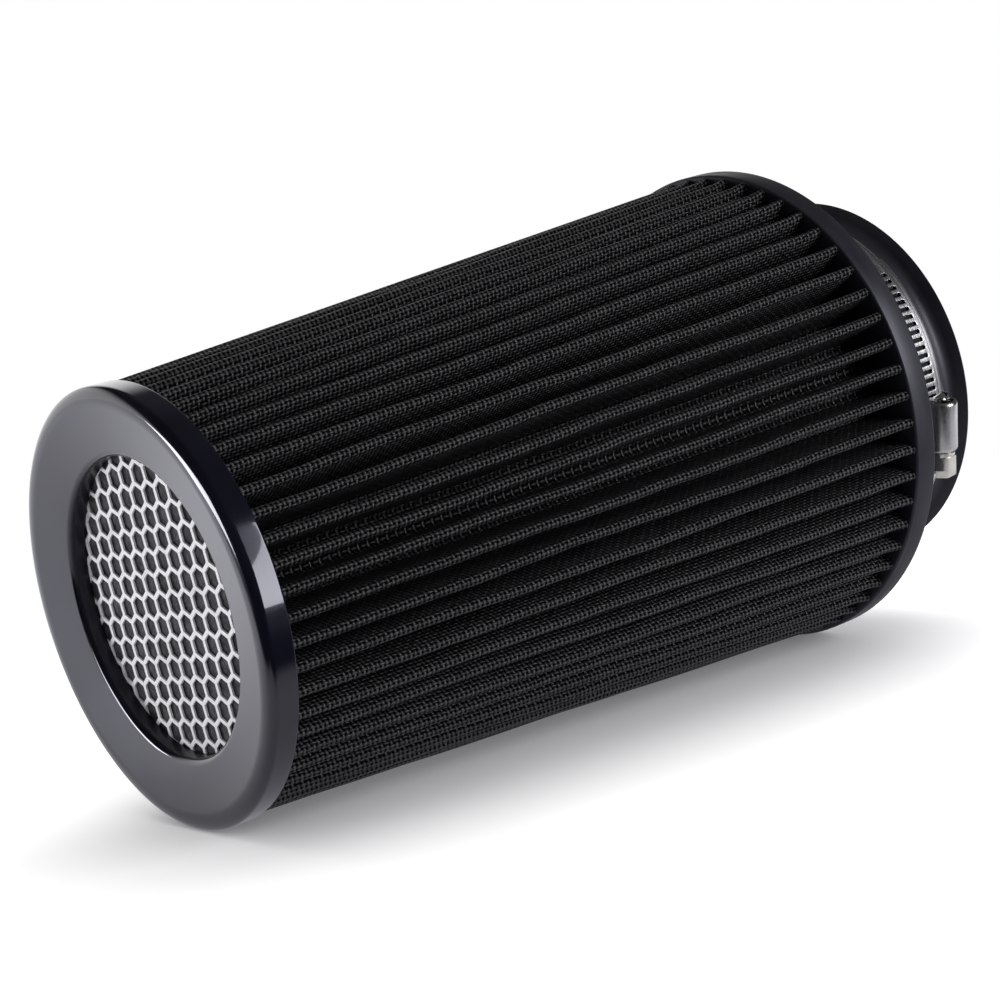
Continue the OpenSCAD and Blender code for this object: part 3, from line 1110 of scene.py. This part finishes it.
@dataclass
class PleatPack(Assembly):
    """Two wire screens with gauze between them, folded into one ring of pleats."""

    pleats: int = 56
    low_z: float = 42.4 * MM
    high_z: float = 258.6 * MM
    crest_low: float = 74.8 * MM
    crest_high: float = 61.5 * MM
    depth: float = 15.0 * MM
    fold: float = 3.0 * MM
    turn: float = 1.8
    drift: float = 3.0
    drift_swing: float = 0.45
    drift_scatter: float = 0.35
    sink_most: float = 0.3 * MM
    sink_turns: float = 2.6
    wave: float = 0.55 * MM
    waves: tuple[Span, ...] = ((0.62, 1.4), (0.26, 4.3), (0.12, 9.7))
    bend: float = 1.1 * MM
    flare: float = 0.6 * MM
    cells_across: float = 23.25
    cell_along: float = 1.477 * MM
    seed: int = 11

    def __post_init__(self) -> None:
        """Draws each pleat's own drift and waves."""
        dice = random.Random(self.seed)
        self.ways = [
            {
                "drift": self.drift
                + self.drift_swing * math.sin(TAU * i * 3 / self.pleats)
                + dice.uniform(-self.drift_scatter, self.drift_scatter),
                "phases": [dice.uniform(0, TAU) for _ in range(4)],
                "sink": dice.uniform(0.0, self.sink_most),
            }
            for i in range(self.pleats)
        ]

    def section(self, inset: float, crest: float) -> list[tuple[float, float, float]]:
        """One pleat's section at one height, from valley to valley.

        Args:
            inset: Depth of the sheet's face under the pleat's outer face.
            crest: Radius of the crest at this height.

        Returns:
            For each point its radius, its offset along the ring and the share of
            the pleat's waves that it follows.
        """
        half = self.fold / 2
        width = half - inset
        floor = crest - self.depth - inset
        pitch = TAU * floor / self.pleats / 2
        top = crest - half
        side = [
            (floor, pitch, 0.0),
            (floor + 0.22 * self.bend, width + (pitch - width) * 0.45, 0.0),
            (floor + self.bend, width + 0.03 * (pitch - width), 0.05),
            (floor + (top - floor) * 0.38, width, 0.35),
            (floor + (top - floor) * 0.70, width, 0.72),
        ]
        turns = [math.radians(30 * k) for k in range(-3, 4)]
        crown = [(top + width * math.cos(a), width * math.sin(a), 1.0) for a in turns]
        left = [(r, -o, s) for r, o, s in side]
        return left + crown + side[::-1]

    def sway(self, pleat: int, share: float) -> tuple[float, float]:
        """How far a pleat's crest strays at one height.

        Args:
            pleat: The pleat's number.
            share: The height, from 0 at the base to 1 at the cap.

        Returns:
            Its offset along the ring and how far it sinks, in metres.
        """
        way = self.ways[pleat % self.pleats]
        *phases, last = way["phases"]
        hold = math.sin(math.pi * share) ** 0.5 if 0 < share < 1 else 0.0
        along = sum(
            part * math.sin(TAU * turns * share + phase)
            for (part, turns), phase in zip(self.waves, phases)
        )
        sink = way["sink"] * (1 + math.sin(TAU * self.sink_turns * share + last)) * hold
        return self.wave * along * hold, sink

    def sheet(self, inset: float, thickness: float, rows: int) -> bmesh.types.BMesh:
        """One folded sheet.

        Args:
            inset: Depth of its outer face under the pleats' outer face.
            thickness: Its thickness.
            rows: How many rows of faces it has along the pleats.

        Returns:
            The sheet as a closed shell, with its weave's map.
        """
        steps = len(self.section(0, self.crest_low)) - 1
        columns = steps * self.pleats
        mesh, uv, places = mapped_grid("weave", columns, rows)
        spacing = self._spacing(inset)
        for face in mesh.faces:
            for loop in face.loops:
                column, row = places[loop.vert]
                pleat, k = divmod(column, steps)
                if k == 0 and face.calc_center_median().x + 0.5 < column / columns:
                    pleat, k = pleat - 1, steps
                height = row / rows * (self.high_z - self.low_z)
                loop[uv].uv = (height / self.cell_along, (pleat + spacing[k]) * self.cells_across)
        for vert, (column, row) in places.items():
            pleat, k = divmod(column, steps)
            vert.co = self.point(inset, pleat, k, row / rows)
        bmesh.ops.remove_doubles(mesh, verts=mesh.verts[:], dist=1e-6)
        bmesh.ops.recalc_face_normals(mesh, faces=mesh.faces[:])
        probe = max(mesh.faces, key=lambda f: f.calc_center_median().xy.length)
        if probe.normal.xy.dot(probe.calc_center_median().xy) < 0:
            bmesh.ops.reverse_faces(mesh, faces=mesh.faces[:])
        bmesh.ops.solidify(mesh, geom=mesh.faces[:], thickness=thickness)
        return mesh

    def _spacing(self, inset: float) -> list[float]:
        """Shares of a pleat's width of sheet, from 0 to 1, at its section's points."""
        points = [Vector(p[:2]) for p in self.section(inset, (self.crest_low + self.crest_high) / 2)]
        runs = [0.0]
        for before, after in zip(points, points[1:]):
            runs.append(runs[-1] + (after - before).length)
        return [run / runs[-1] for run in runs]

    def point(self, inset: float, pleat: int, k: int, share: float) -> Vector:
        """Where one point of a sheet is.

        Args:
            inset: Depth of the sheet's face under the pleats' outer face.
            pleat: The pleat's number.
            k: The point's number in the pleat's section.
            share: The height, from 0 at the base to 1 at the cap.

        Returns:
            The point.
        """
        crest = self.crest_low + (self.crest_high - self.crest_low) * share
        radius, offset, follow = self.section(inset, crest)[k]
        along, sink = self.sway(pleat, share)
        drift = self.ways[pleat % self.pleats]["drift"]
        if k == 0:
            drift = (drift + self.ways[(pleat - 1) % self.pleats]["drift"]) / 2
        radius -= sink * follow
        if share == 0:
            radius += self.flare * follow
        angle = math.radians(self.turn + pleat * 360 / self.pleats - drift * share)
        angle += (offset + along * follow) / radius
        height = self.low_z + (self.high_z - self.low_z) * share
        return Vector((radius * math.cos(angle), radius * math.sin(angle), height))

    def build(self, screens: dict[Layer, Finish]) -> None:
        """Makes the three sheets.

        Args:
            screens: The finish of each sheet.
        """
        plan = {
            Layer.OUTER: (0.0, 0.45 * MM, 44, "black_screen"),
            Layer.GAUZE: (0.50 * MM, 0.45 * MM, 22, "dark_gauze"),
            Layer.INNER: (1.00 * MM, 0.30 * MM, 22, "inner_wire"),
        }
        for layer, (inset, thickness, rows, slot) in plan.items():
            mesh = self.sheet(inset, thickness, rows)
            name = f"folded_{layer.name.lower()}_sheet"
            self.add(name, mesh, screens[layer], slot, [layer.value], crease=80)


# ----------------------------------------------------------------------- clamp


@dataclass
class HoseClamp(Assembly):
    """Slotted band, pressed housing and worm screw."""

    band_w: float = 12.7 * MM
    band_t: float = 0.7 * MM
    band_z: float = 8.4 * MM
    inner_r: float = 54.95 * MM
    rise: float = 0.75 * MM
    start: float = -95.0
    climb_end: float = 261.0
    climb: float = 60.0
    end: float = 327.4
    slots: int = 34
    tail_slots: int = 19
    slot_len: float = 6.4 * MM
    slot_w: float = 1.35 * MM
    slot_pitch: float = 2.6 * MM
    screw_y: float = -60.25 * MM
    housing_len: float = 16.2 * MM
    barrel_r: float = 5.1 * MM
    sheet: float = 0.7 * MM
    thread_r: float = 4.1 * MM
    root_r: float = 3.3 * MM
    tip_r: float = 2.1 * MM
    neck_r: float = 2.6 * MM
    collar_r: float = 4.15 * MM
    collar_t: float = 1.4 * MM
    hex_af: float = 8.0 * MM
    hex_corner_r: float = 4.4 * MM
    hex_len: float = 6.6 * MM
    head_turn: float = 7.7
    drive_w: float = 1.3 * MM
    drive_d: float = 2.4 * MM
    end_play: float = 0.3 * MM
    slot_corner: float = 0.45 * MM
    tail_corner: float = 1.6 * MM
    strip_soft: float = 0.16 * MM
    head_soft: float = 0.45 * MM
    end_bend: float = 1.3 * MM
    tab_z: float = 2.75 * MM
    thread_turns: int = 4

    @property
    def middle(self) -> float:
        """Height of the band's middle."""
        return self.band_z + self.band_w / 2

    @property
    def lap_r(self) -> float:
        """Inner radius of the band where it laps itself."""
        return self.inner_r + self.rise

    def radius(self, angle: float) -> float:
        """Inner radius of the band at an angle in degrees."""
        share = min(1.0, max(0.0, (angle - self.climb_end + self.climb) / self.climb))
        return self.inner_r + self.rise * share * share * (3 - 2 * share)

    def columns(self) -> tuple[list[float], set[int]]:
        """Angles of the band's columns, and the numbers of those that start a slot."""
        step = math.degrees(self.slot_pitch / (self.lap_r + self.band_t / 2))
        half = math.degrees(self.slot_w / 2 / (self.lap_r + self.band_t / 2))
        centres = sorted(270 + (self.tail_slots - i) * step for i in range(self.slots))
        angles = []
        a = self.start
        while a < centres[0] - 3:
            angles.append(a)
            a += 2.5
        starts = set()
        for centre in centres:
            starts.add(len(angles) + 1)
            angles += [centre - step / 2, centre - half, centre + half]
        angles.append(centres[-1] + step / 2)
        rest = self.end - angles[-1]
        angles += [angles[-1] + rest * k / 3 for k in (1, 2, 3)]
        return angles, starts

    def band(self) -> bmesh.types.BMesh:
        """The slotted band, wound once round the neck and over its own start."""
        angles, starts = self.columns()
        margin = (self.band_w - self.slot_len) / 2
        rows = [0.0, margin / 2, margin, self.band_w - margin, self.band_w - margin / 2, self.band_w]
        mesh, uv, places = mapped_grid("strip", len(angles) - 1, len(rows) - 1)
        holes = []
        for face in mesh.faces:
            column = min(places[v][0] for v in face.verts)
            row = min(places[v][1] for v in face.verts)
            if column in starts and row == 2:
                holes.append(face)
        flat = self.lap_r + self.band_t / 2
        for vert, (column, row) in places.items():
            vert.co = (math.radians(angles[column]) * flat, rows[row], 0)
        bmesh.ops.delete(mesh, geom=holes, context="FACES")
        low, high = margin * 0.9, self.band_w - margin * 0.9
        corners = [v for v in mesh.verts if v.is_boundary and low < v.co.y < high]
        round_corners(mesh, corners, self.slot_corner, 2)
        near, tail_x = 1e-6, math.radians(self.end) * flat
        tail = [
            v
            for v in mesh.verts
            if v.co.x > tail_x - near and (v.co.y < near or v.co.y > self.band_w - near)
        ]
        round_corners(mesh, tail, self.tail_corner, 4)
        for face in mesh.faces:
            for loop in face.loops:
                loop[uv].uv = (loop.vert.co.x, loop.vert.co.y)
        turn_up(mesh)
        bmesh.ops.solidify(mesh, geom=mesh.faces[:], thickness=self.band_t)
        rims = [e for e in mesh.edges if e.is_manifold and e.calc_face_angle() > 1.0]
        soften(mesh, rims, self.strip_soft, 2)
        top = max(v.co.z for v in mesh.verts)
        for vert in mesh.verts:
            angle = vert.co.x / flat
            r = self.radius(math.degrees(angle)) + self.band_t + vert.co.z - top
            vert.co = (r * math.cos(angle), r * math.sin(angle), self.band_z + vert.co.y)
        bmesh.ops.recalc_face_normals(mesh, faces=mesh.faces[:])
        return mesh

    def housing(self) -> bmesh.types.BMesh:
        """The pressed housing: a barrel over the screw, two legs and two end walls."""
        inner_w = self.band_w / 2 + 0.1 * MM
        saddle = -(self.lap_r + self.band_t + 0.1 * MM) - self.screw_y
        foot = -(self.inner_r + 0.02 * MM) - self.screw_y
        bore = self.barrel_r - self.sheet
        corner = (saddle - self.sheet, inner_w + self.sheet)
        shoulder = rounded_corner(corner, 0.6 * MM, (1, 0), (0, -1))
        outer = [
            (foot, inner_w + self.sheet),
            *shoulder,
            (saddle - self.sheet, self.barrel_r),
            *arc((0, 0), self.barrel_r, 90, 270, 24),
            (saddle - self.sheet, -self.barrel_r),
            *[(y, -z) for y, z in reversed(shoulder)],
            (foot, -inner_w - self.sheet),
        ]
        inner = [
            (foot, -inner_w),
            (saddle, -inner_w),
            (saddle, -bore),
            *arc((0, 0), bore, 270, 90, 24),
            (saddle, bore),
            (saddle, inner_w),
            (foot, inner_w),
        ]
        mesh = bmesh.new()
        x0 = -self.housing_len / 2
        ring = [mesh.verts.new((x0, y, z)) for y, z in outer + inner]
        face = mesh.faces.new(ring)
        bmesh.ops.triangulate(mesh, faces=[face], quad_method="BEAUTY", ngon_method="BEAUTY")
        pull_out(mesh, mesh.faces[:], (self.housing_len, 0, 0))
        self._close_in(mesh, saddle)
        for side in (-1, 1):
            self._end_wall(mesh, side, saddle)
        for z in (-self.tab_z, self.tab_z):
            self._tab(mesh, z)
        bmesh.ops.translate(mesh, verts=mesh.verts[:], vec=(0, self.screw_y, self.middle))
        bmesh.ops.recalc_face_normals(mesh, faces=mesh.faces[:])
        return mesh

    def _close_in(self, mesh: bmesh.types.BMesh, saddle: float) -> None:
        """Rounds the barrel's ends inwards, as the press leaves them.

        Args:
            mesh: The housing's mesh, about the screw's axis.
            saddle: Level of the band's outer face, which the feet stay under.
        """
        bend, steps = self.end_bend, 6
        turns = [math.radians(72 * k / steps) for k in range(steps + 1)]
        stations = [self.housing_len / 2 - bend + bend * math.sin(t) for t in turns]
        scale = (self.housing_len / 2) / stations[-1]
        stations = [x * scale for x in stations]
        for x in stations[:-1]:
            for side in (-1, 1):
                slice_through(mesh, (side * x, 0, 0), (1, 0, 0))
        for vert in mesh.verts:
            for x, t in zip(stations, turns):
                if abs(abs(vert.co.x) - x) < 2e-6:
                    reach = math.hypot(vert.co.y, vert.co.z)
                    fade = min(1.0, max(0.0, (saddle - vert.co.y) / (2.5 * MM)))
                    if reach < self.barrel_r + 0.9 * MM:
                        shrink = 1 - bend * (1 - math.cos(t)) * fade / reach
                        vert.co.y *= shrink
                        vert.co.z *= shrink

    def _end_wall(self, mesh: bmesh.types.BMesh, side: int, saddle: float) -> None:
        """Adds the wall that one of the screw's journals turns in.

        Args:
            mesh: The housing's mesh, about the screw's axis.
            side: -1 for the head's end, 1 for the tip's.
            saddle: Level of the band's outer face, which the wall stays clear of.
        """
        hole = (self.tip_r if side > 0 else self.neck_r) + 0.06 * MM
        wall = self.barrel_r - self.sheet - 0.35 * MM
        turn = Matrix.Rotation(math.pi / 2, 4, "Y")
        at = Matrix.Translation((side * self.housing_len / 2 - (self.sheet if side > 0 else 0), 0, 0))
        start = set(mesh.faces)
        rings = [
            bmesh.ops.create_circle(mesh, cap_ends=False, segments=32, radius=r, matrix=at @ turn)["verts"]
            for r in (hole, wall)
        ]
        edges = {e for ring in rings for v in ring for e in v.link_edges}
        bmesh.ops.bridge_loops(mesh, edges=list(edges))
        plate = [f for f in mesh.faces if f not in start]
        pull_out(mesh, plate, (self.sheet, 0, 0))
        limit = saddle - 0.1 * MM
        for vert in {v for f in mesh.faces if f not in start for v in f.verts}:
            vert.co.y = min(vert.co.y, limit)

    def _tab(self, mesh: bmesh.types.BMesh, z: float) -> None:
        """Adds one of the two bent tabs beside the screw's tip."""
        at = Matrix.Translation((self.housing_len / 2 + 0.55 * MM, -1.2 * MM, z))
        made = bmesh.ops.create_cone(
            mesh,
            cap_ends=True,
            segments=4,
            radius1=1.0 * MM,
            radius2=0.3 * MM,
            depth=1.5 * MM,
            matrix=at @ Matrix.Rotation(math.pi / 2, 4, "Y"),
        )
        bmesh.ops.scale(
            mesh, verts=made["verts"], vec=(1.0, 1.7, 0.7),
            space=Matrix.Translation((0, 1.2 * MM, -z)),
        )

    def screw(self) -> bmesh.types.BMesh:
        """The worm screw with its thread, journals, collar and hexagon head."""
        x0 = -self.housing_len / 2
        body = self.housing_len - 2 * self.sheet - 2 * self.end_play
        head_x = x0 - self.end_play - self.collar_t
        tip_x = -x0 + 1.3 * MM
        outline = [
            (tip_x + 0.7 * MM, 0.0),
            (tip_x + 0.55 * MM, 0.5 * MM),
            (tip_x - 0.2 * MM, self.tip_r - 0.5 * MM),
            (tip_x - 0.9 * MM, self.tip_r),
            (body / 2, self.tip_r),
            (body / 2 - 0.5 * MM, self.root_r),
            (-body / 2 + 0.5 * MM, self.root_r),
            (-body / 2, self.neck_r),
            (x0 - self.end_play, self.neck_r),
            (x0 - self.end_play, self.collar_r - 0.25 * MM),
            (x0 - self.end_play - 0.25 * MM, self.collar_r),
            (head_x + 0.25 * MM, self.collar_r),
            (head_x, self.collar_r - 0.25 * MM),
            (head_x, 0.0),
        ]
        mesh = bmesh.new()
        chain = [mesh.verts.new((x, r, 0)) for x, r in outline]
        edges = [mesh.edges.new(pair) for pair in zip(chain, chain[1:])]
        bmesh.ops.spin(
            mesh, geom=chain + edges, cent=(0, 0, 0), axis=(1, 0, 0), angle=TAU, steps=48, use_merge=True
        )
        bmesh.ops.remove_doubles(mesh, verts=mesh.verts[:], dist=1e-7)
        self._thread(mesh)
        self._head(mesh, head_x)
        bmesh.ops.recalc_face_normals(mesh, faces=mesh.faces[:])
        bmesh.ops.translate(mesh, verts=mesh.verts[:], vec=(0, self.screw_y, self.middle))
        return mesh

    def _thread(self, mesh: bmesh.types.BMesh) -> None:
        """Winds the thread's ridge round the screw's body.

        Args:
            mesh: The screw's mesh, along X.
        """
        turns, steps = self.thread_turns, 32
        low, high = self.root_r - 0.15 * MM, self.thread_r
        shape = [(-0.6, low), (-0.28, high), (0.28, high), (0.6, low)]
        x = -turns * self.slot_pitch / 2
        verts = [mesh.verts.new((x + dx * MM, r, 0)) for dx, r in shape]
        face = mesh.faces.new(verts)
        bmesh.ops.spin(
            mesh,
            geom=[face, *verts, *face.edges],
            cent=(0, 0, 0),
            axis=(1, 0, 0),
            dvec=(self.slot_pitch / steps, 0, 0),
            angle=TAU * turns,
            steps=steps * turns,
            use_merge=False,
        )

    def _head(self, mesh: bmesh.types.BMesh, head_x: float) -> None:
        """Adds the hexagon head with its screwdriver slot.

        Args:
            mesh: The screw's mesh, along X.
            head_x: Where the head starts, and it goes on towards -X.
        """
        outline = [
            Vector((math.cos(a), math.sin(a))) * self.hex_af / math.sqrt(3)
            for a in (math.radians(self.head_turn + 60 * k) for k in range(6))
        ]
        cut: list[Vector] = []
        reach = self.hex_corner_r / (self.hex_af / math.sqrt(3))
        for before, here, after in zip(outline[-1:] + outline[:-1], outline, outline[1:] + outline[:1]):
            trim = 1.25 * (1 - reach)
            cut += [here.lerp(before, trim), here.lerp(after, trim)]
        verts = [mesh.verts.new((head_x, v.y, -v.x)) for v in cut]
        sides = pull_out(mesh, [mesh.faces.new(verts)], (self.drive_d - self.hex_len, 0, 0))
        ends = [f for f in sides if isinstance(f, bmesh.types.BMFace)]
        turn = math.radians(self.head_turn)
        across = Vector((0, math.cos(turn), math.sin(turn)))
        for shift in (-1, 1):
            geom = ends + [e for f in ends for e in f.edges] + [v for f in ends for v in f.verts]
            made = bmesh.ops.bisect_plane(
                mesh, geom=list(set(geom)), dist=1e-7,
                plane_co=across * (shift * self.drive_w / 2), plane_no=across,
            )
            ends = [f for f in made["geom"] if isinstance(f, bmesh.types.BMFace)]
        lobes = [f for f in ends if abs(f.calc_center_median().dot(across)) > self.drive_w / 2]
        raised = pull_out(mesh, lobes, (-self.drive_d, 0, 0))
        lifted = [v for v in raised if isinstance(v, bmesh.types.BMVert)]
        bmesh.ops.delete(mesh, geom=lobes, context="FACES")
        rim = [
            e
            for v in lifted
            for e in v.link_edges
            if all(w in lifted for w in e.verts)
            and (e.verts[0].co + e.verts[1].co).yz.length > self.hex_af * 0.93
        ]
        soften(mesh, set(rim), self.head_soft, 3)

    def build(self, strip: Finish, pressed: Finish, plated: Finish) -> None:
        """Makes the band, the housing and the screw."""
        self.add("clamp_band_strip", self.band(), strip, "band_steel", ["clamp_band"], crease=30)
        self.add("clamp_screw_housing", self.housing(), pressed, "housing_steel", ["clamp_housing"])
        mesh = self.screw()
        self.add("clamp_worm_screw", mesh, plated, "screw_steel", ["clamp_screw"], Body.SCREW, 30)


# ---------------------------------------------------------------------- studio


@dataclass(frozen=True)
class Patch:
    """A soft patch of the surroundings.

    Its direction is in shares of the picture's right, up and back. Its light
    grows from the cosine low to the cosine high.
    """

    aim: tuple[float, float, float]
    low: float
    high: float


@dataclass(frozen=True)
class Lamp:
    """A soft rectangular lamp that points at the filter.

    Its direction is in shares of the picture's right, up and back, and its level
    is its brightness in a mirror, where 1 is white.
    """

    name: str
    way: tuple[float, float, float]
    size: tuple[float, float]
    level: float
    distance: float = 0.9
    tint: Colour = (0.95, 0.95, 1.0)


@dataclass
class Studio:
    """Camera, floor, world and lamps."""

    eye: tuple[float, float, float] = (0.2383, -0.5377, 0.5526)
    ahead: tuple[float, float, float] = (-0.3358, 0.7489, -0.5713)
    up: tuple[float, float, float] = (0.9390, 0.2183, -0.2658)
    lens: float = 86.56
    low_side: float = -166.9
    ring_r: float = 0.076
    ring_z: float = 0.039
    rim_r: float = 0.0624
    rim_z: float = 0.262
    middle: tuple[float, float, float] = (0.0, 0.0, 0.135)
    floor_size: float = 4.0
    floor_gap: float = 0.2 * MM
    soft_level: float = 0.36
    sky_level: float = 2.1
    dim_level: float = 0.02
    sky: Patch = Patch((0.0, 0.85, -0.42), 0.60, 0.97)
    haze: Patch = Patch((-0.20, 0.20, -0.96), 0.80, 0.97)
    side_haze: Patch = Patch((-0.75, 0.02, -0.62), 0.84, 0.95)
    lamps: tuple[Lamp, ...] = (
        Lamp("window_lamp", (0.87, 0.21, 0.43), (0.34, 0.85), 6.5),
        Lamp("strip_lamp", (-0.95, -0.22, 0.04), (0.42, 0.24), 9.0),
    )

    def axes(self) -> tuple[Vector, Vector, Vector]:
        """The picture's right, its up and the way back to the camera."""
        back = -Vector(self.ahead).normalized()
        right = Vector(self.up).cross(back).normalized()
        return right, back.cross(right).normalized(), back

    def camera(self) -> None:
        """Sets up the camera at the photograph's viewing angle."""
        right, up, back = self.axes()
        data = bpy.data.cameras.new("camera")
        data.lens = self.lens
        data.sensor_width = 36.0
        data.clip_start = 0.01
        data.clip_end = 50.0
        camera = bpy.data.objects.new("camera", data)
        bpy.context.scene.collection.objects.link(camera)
        turn = Matrix((right, up, back)).transposed().to_4x4()
        camera.matrix_world = Matrix.Translation(self.eye) @ turn
        bpy.context.scene.camera = camera

    def floor(self, finish: Finish) -> None:
        """Lays the floor along the filter's low side, where the photograph has it."""
        out = Vector((math.cos(math.radians(self.low_side)), math.sin(math.radians(self.low_side)), 0))
        touch = out * self.ring_r + Vector((0, 0, self.ring_z))
        along = (out * self.rim_r + Vector((0, 0, self.rim_z)) - touch).normalized()
        side = out.cross(Vector((0, 0, 1))).normalized()
        face = along.cross(side).normalized()
        if face.dot(out) > 0:
            side, face = -side, -face
        mesh = bmesh.new()
        turn = Matrix((along, side, face)).transposed().to_4x4()
        at = Matrix.Translation(touch + out * self.floor_gap)
        bmesh.ops.create_grid(mesh, x_segments=4, y_segments=4, size=self.floor_size, matrix=at @ turn)
        data = bpy.data.meshes.new("stage_floor")
        mesh.to_mesh(data)
        mesh.free()
        floor = bpy.data.objects.new("stage_floor", data)
        bpy.context.scene.collection.objects.link(floor)
        finish.dress(floor)

    def world(self) -> None:
        """Makes the surroundings: a white backdrop behind, a dim room in front."""
        world = bpy.data.worlds.new("surroundings")
        bpy.context.scene.world = world
        shading = Shading(world)
        right, up, back = self.axes()
        way = shading.node("ShaderNodeTexCoord").outputs["Generated"]

        def light(patch: Patch) -> Value:
            """The light of a patch."""
            axis = (right * patch.aim[0] + up * patch.aim[1] + back * patch.aim[2]).normalized()
            return shading.measure("DOT_PRODUCT", way, tuple(axis)).ramp(patch.low, patch.high)

        room = self.dim_level + light(self.haze).at_least(light(self.side_haze))
        falling = self.soft_level + self.sky_level * light(self.sky)
        seen, mirror = shading.seen_directly(), shading.mirrored()
        level = falling * (1.0 - mirror) + room * mirror
        level = level * (1.0 - seen) + seen
        surface = shading.node("ShaderNodeBackground", None, {"Color": (1, 1, 1, 1), "Strength": level})
        shading.output(surface.outputs[0], "ShaderNodeOutputWorld")

    def hang(self, lamp: Lamp) -> None:
        """Hangs a lamp.

        Args:
            lamp: What and where it is.
        """
        right, up, back = self.axes()
        out = (right * lamp.way[0] + up * lamp.way[1] + back * lamp.way[2]).normalized()
        data = bpy.data.lights.new(lamp.name, "AREA")
        data.shape = "RECTANGLE"
        data.size, data.size_y = lamp.size
        data.energy = lamp.level * math.pi * lamp.size[0] * lamp.size[1]
        data.color = lamp.tint
        hung = bpy.data.objects.new(lamp.name, data)
        bpy.context.scene.collection.objects.link(hung)
        across = up.cross(out).normalized()
        turn = Matrix((across, out.cross(across).normalized(), out)).transposed().to_4x4()
        hung.matrix_world = Matrix.Translation(Vector(self.middle) + out * lamp.distance) @ turn

    def build(self, floor: Finish) -> None:
        """Sets up the whole stage.

        Args:
            floor: The floor's finish.
        """
        bpy.context.scene.view_settings.view_transform = "Standard"
        self.camera()
        self.floor(floor)
        self.world()
        for lamp in self.lamps:
            self.hang(lamp)


def main() -> None:
    """Builds the filter piece by piece, and then the stage around it."""
    logging.basicConfig(level=logging.INFO, format="%(name)s %(message)s")
    EndCap().build(GlossMoulding("gloss_moulding"))
    BaseBoot().build(SatinRubber("black_rubber"))
    Window().build(SilverPaint("silver_mesh"), GauzeCloth("grey_gauze"))
    PleatPack().build(
        {
            Layer.OUTER: WovenScreen("black_screen"),
            Layer.GAUZE: GauzeCloth("dark_gauze", (0.006, 0.006, 0.007), (0.03, 0.03, 0.033)),
            Layer.INNER: WovenScreen("inner_wire", wire=(0.03, 0.03, 0.031)),
        }
    )
    HoseClamp().build(
        BrushedSteel(
            "band_steel",
            dark=(0.60, 0.60, 0.62),
            streaks=(0.6, 20.0, 1.0),
            coordinates="strip",
            relief=0.000002,
            # painted shade on the band's start under its tail, up to here along the strip
            painted_shade_to=-0.0325,
        ),
        BrushedSteel("housing_steel", (0.68, 0.67, 0.67), (0.52, 0.51, 0.51), (1.0, 9.0, 9.0)),
        BrushedSteel("screw_steel", (0.88, 0.86, 0.80), (0.70, 0.67, 0.60), (6.0, 6.0, 6.0), 0.16, 0.28),
    )
    Studio().build(PaleFloor("pale_floor"))


if __name__ == "__main__":
    main()
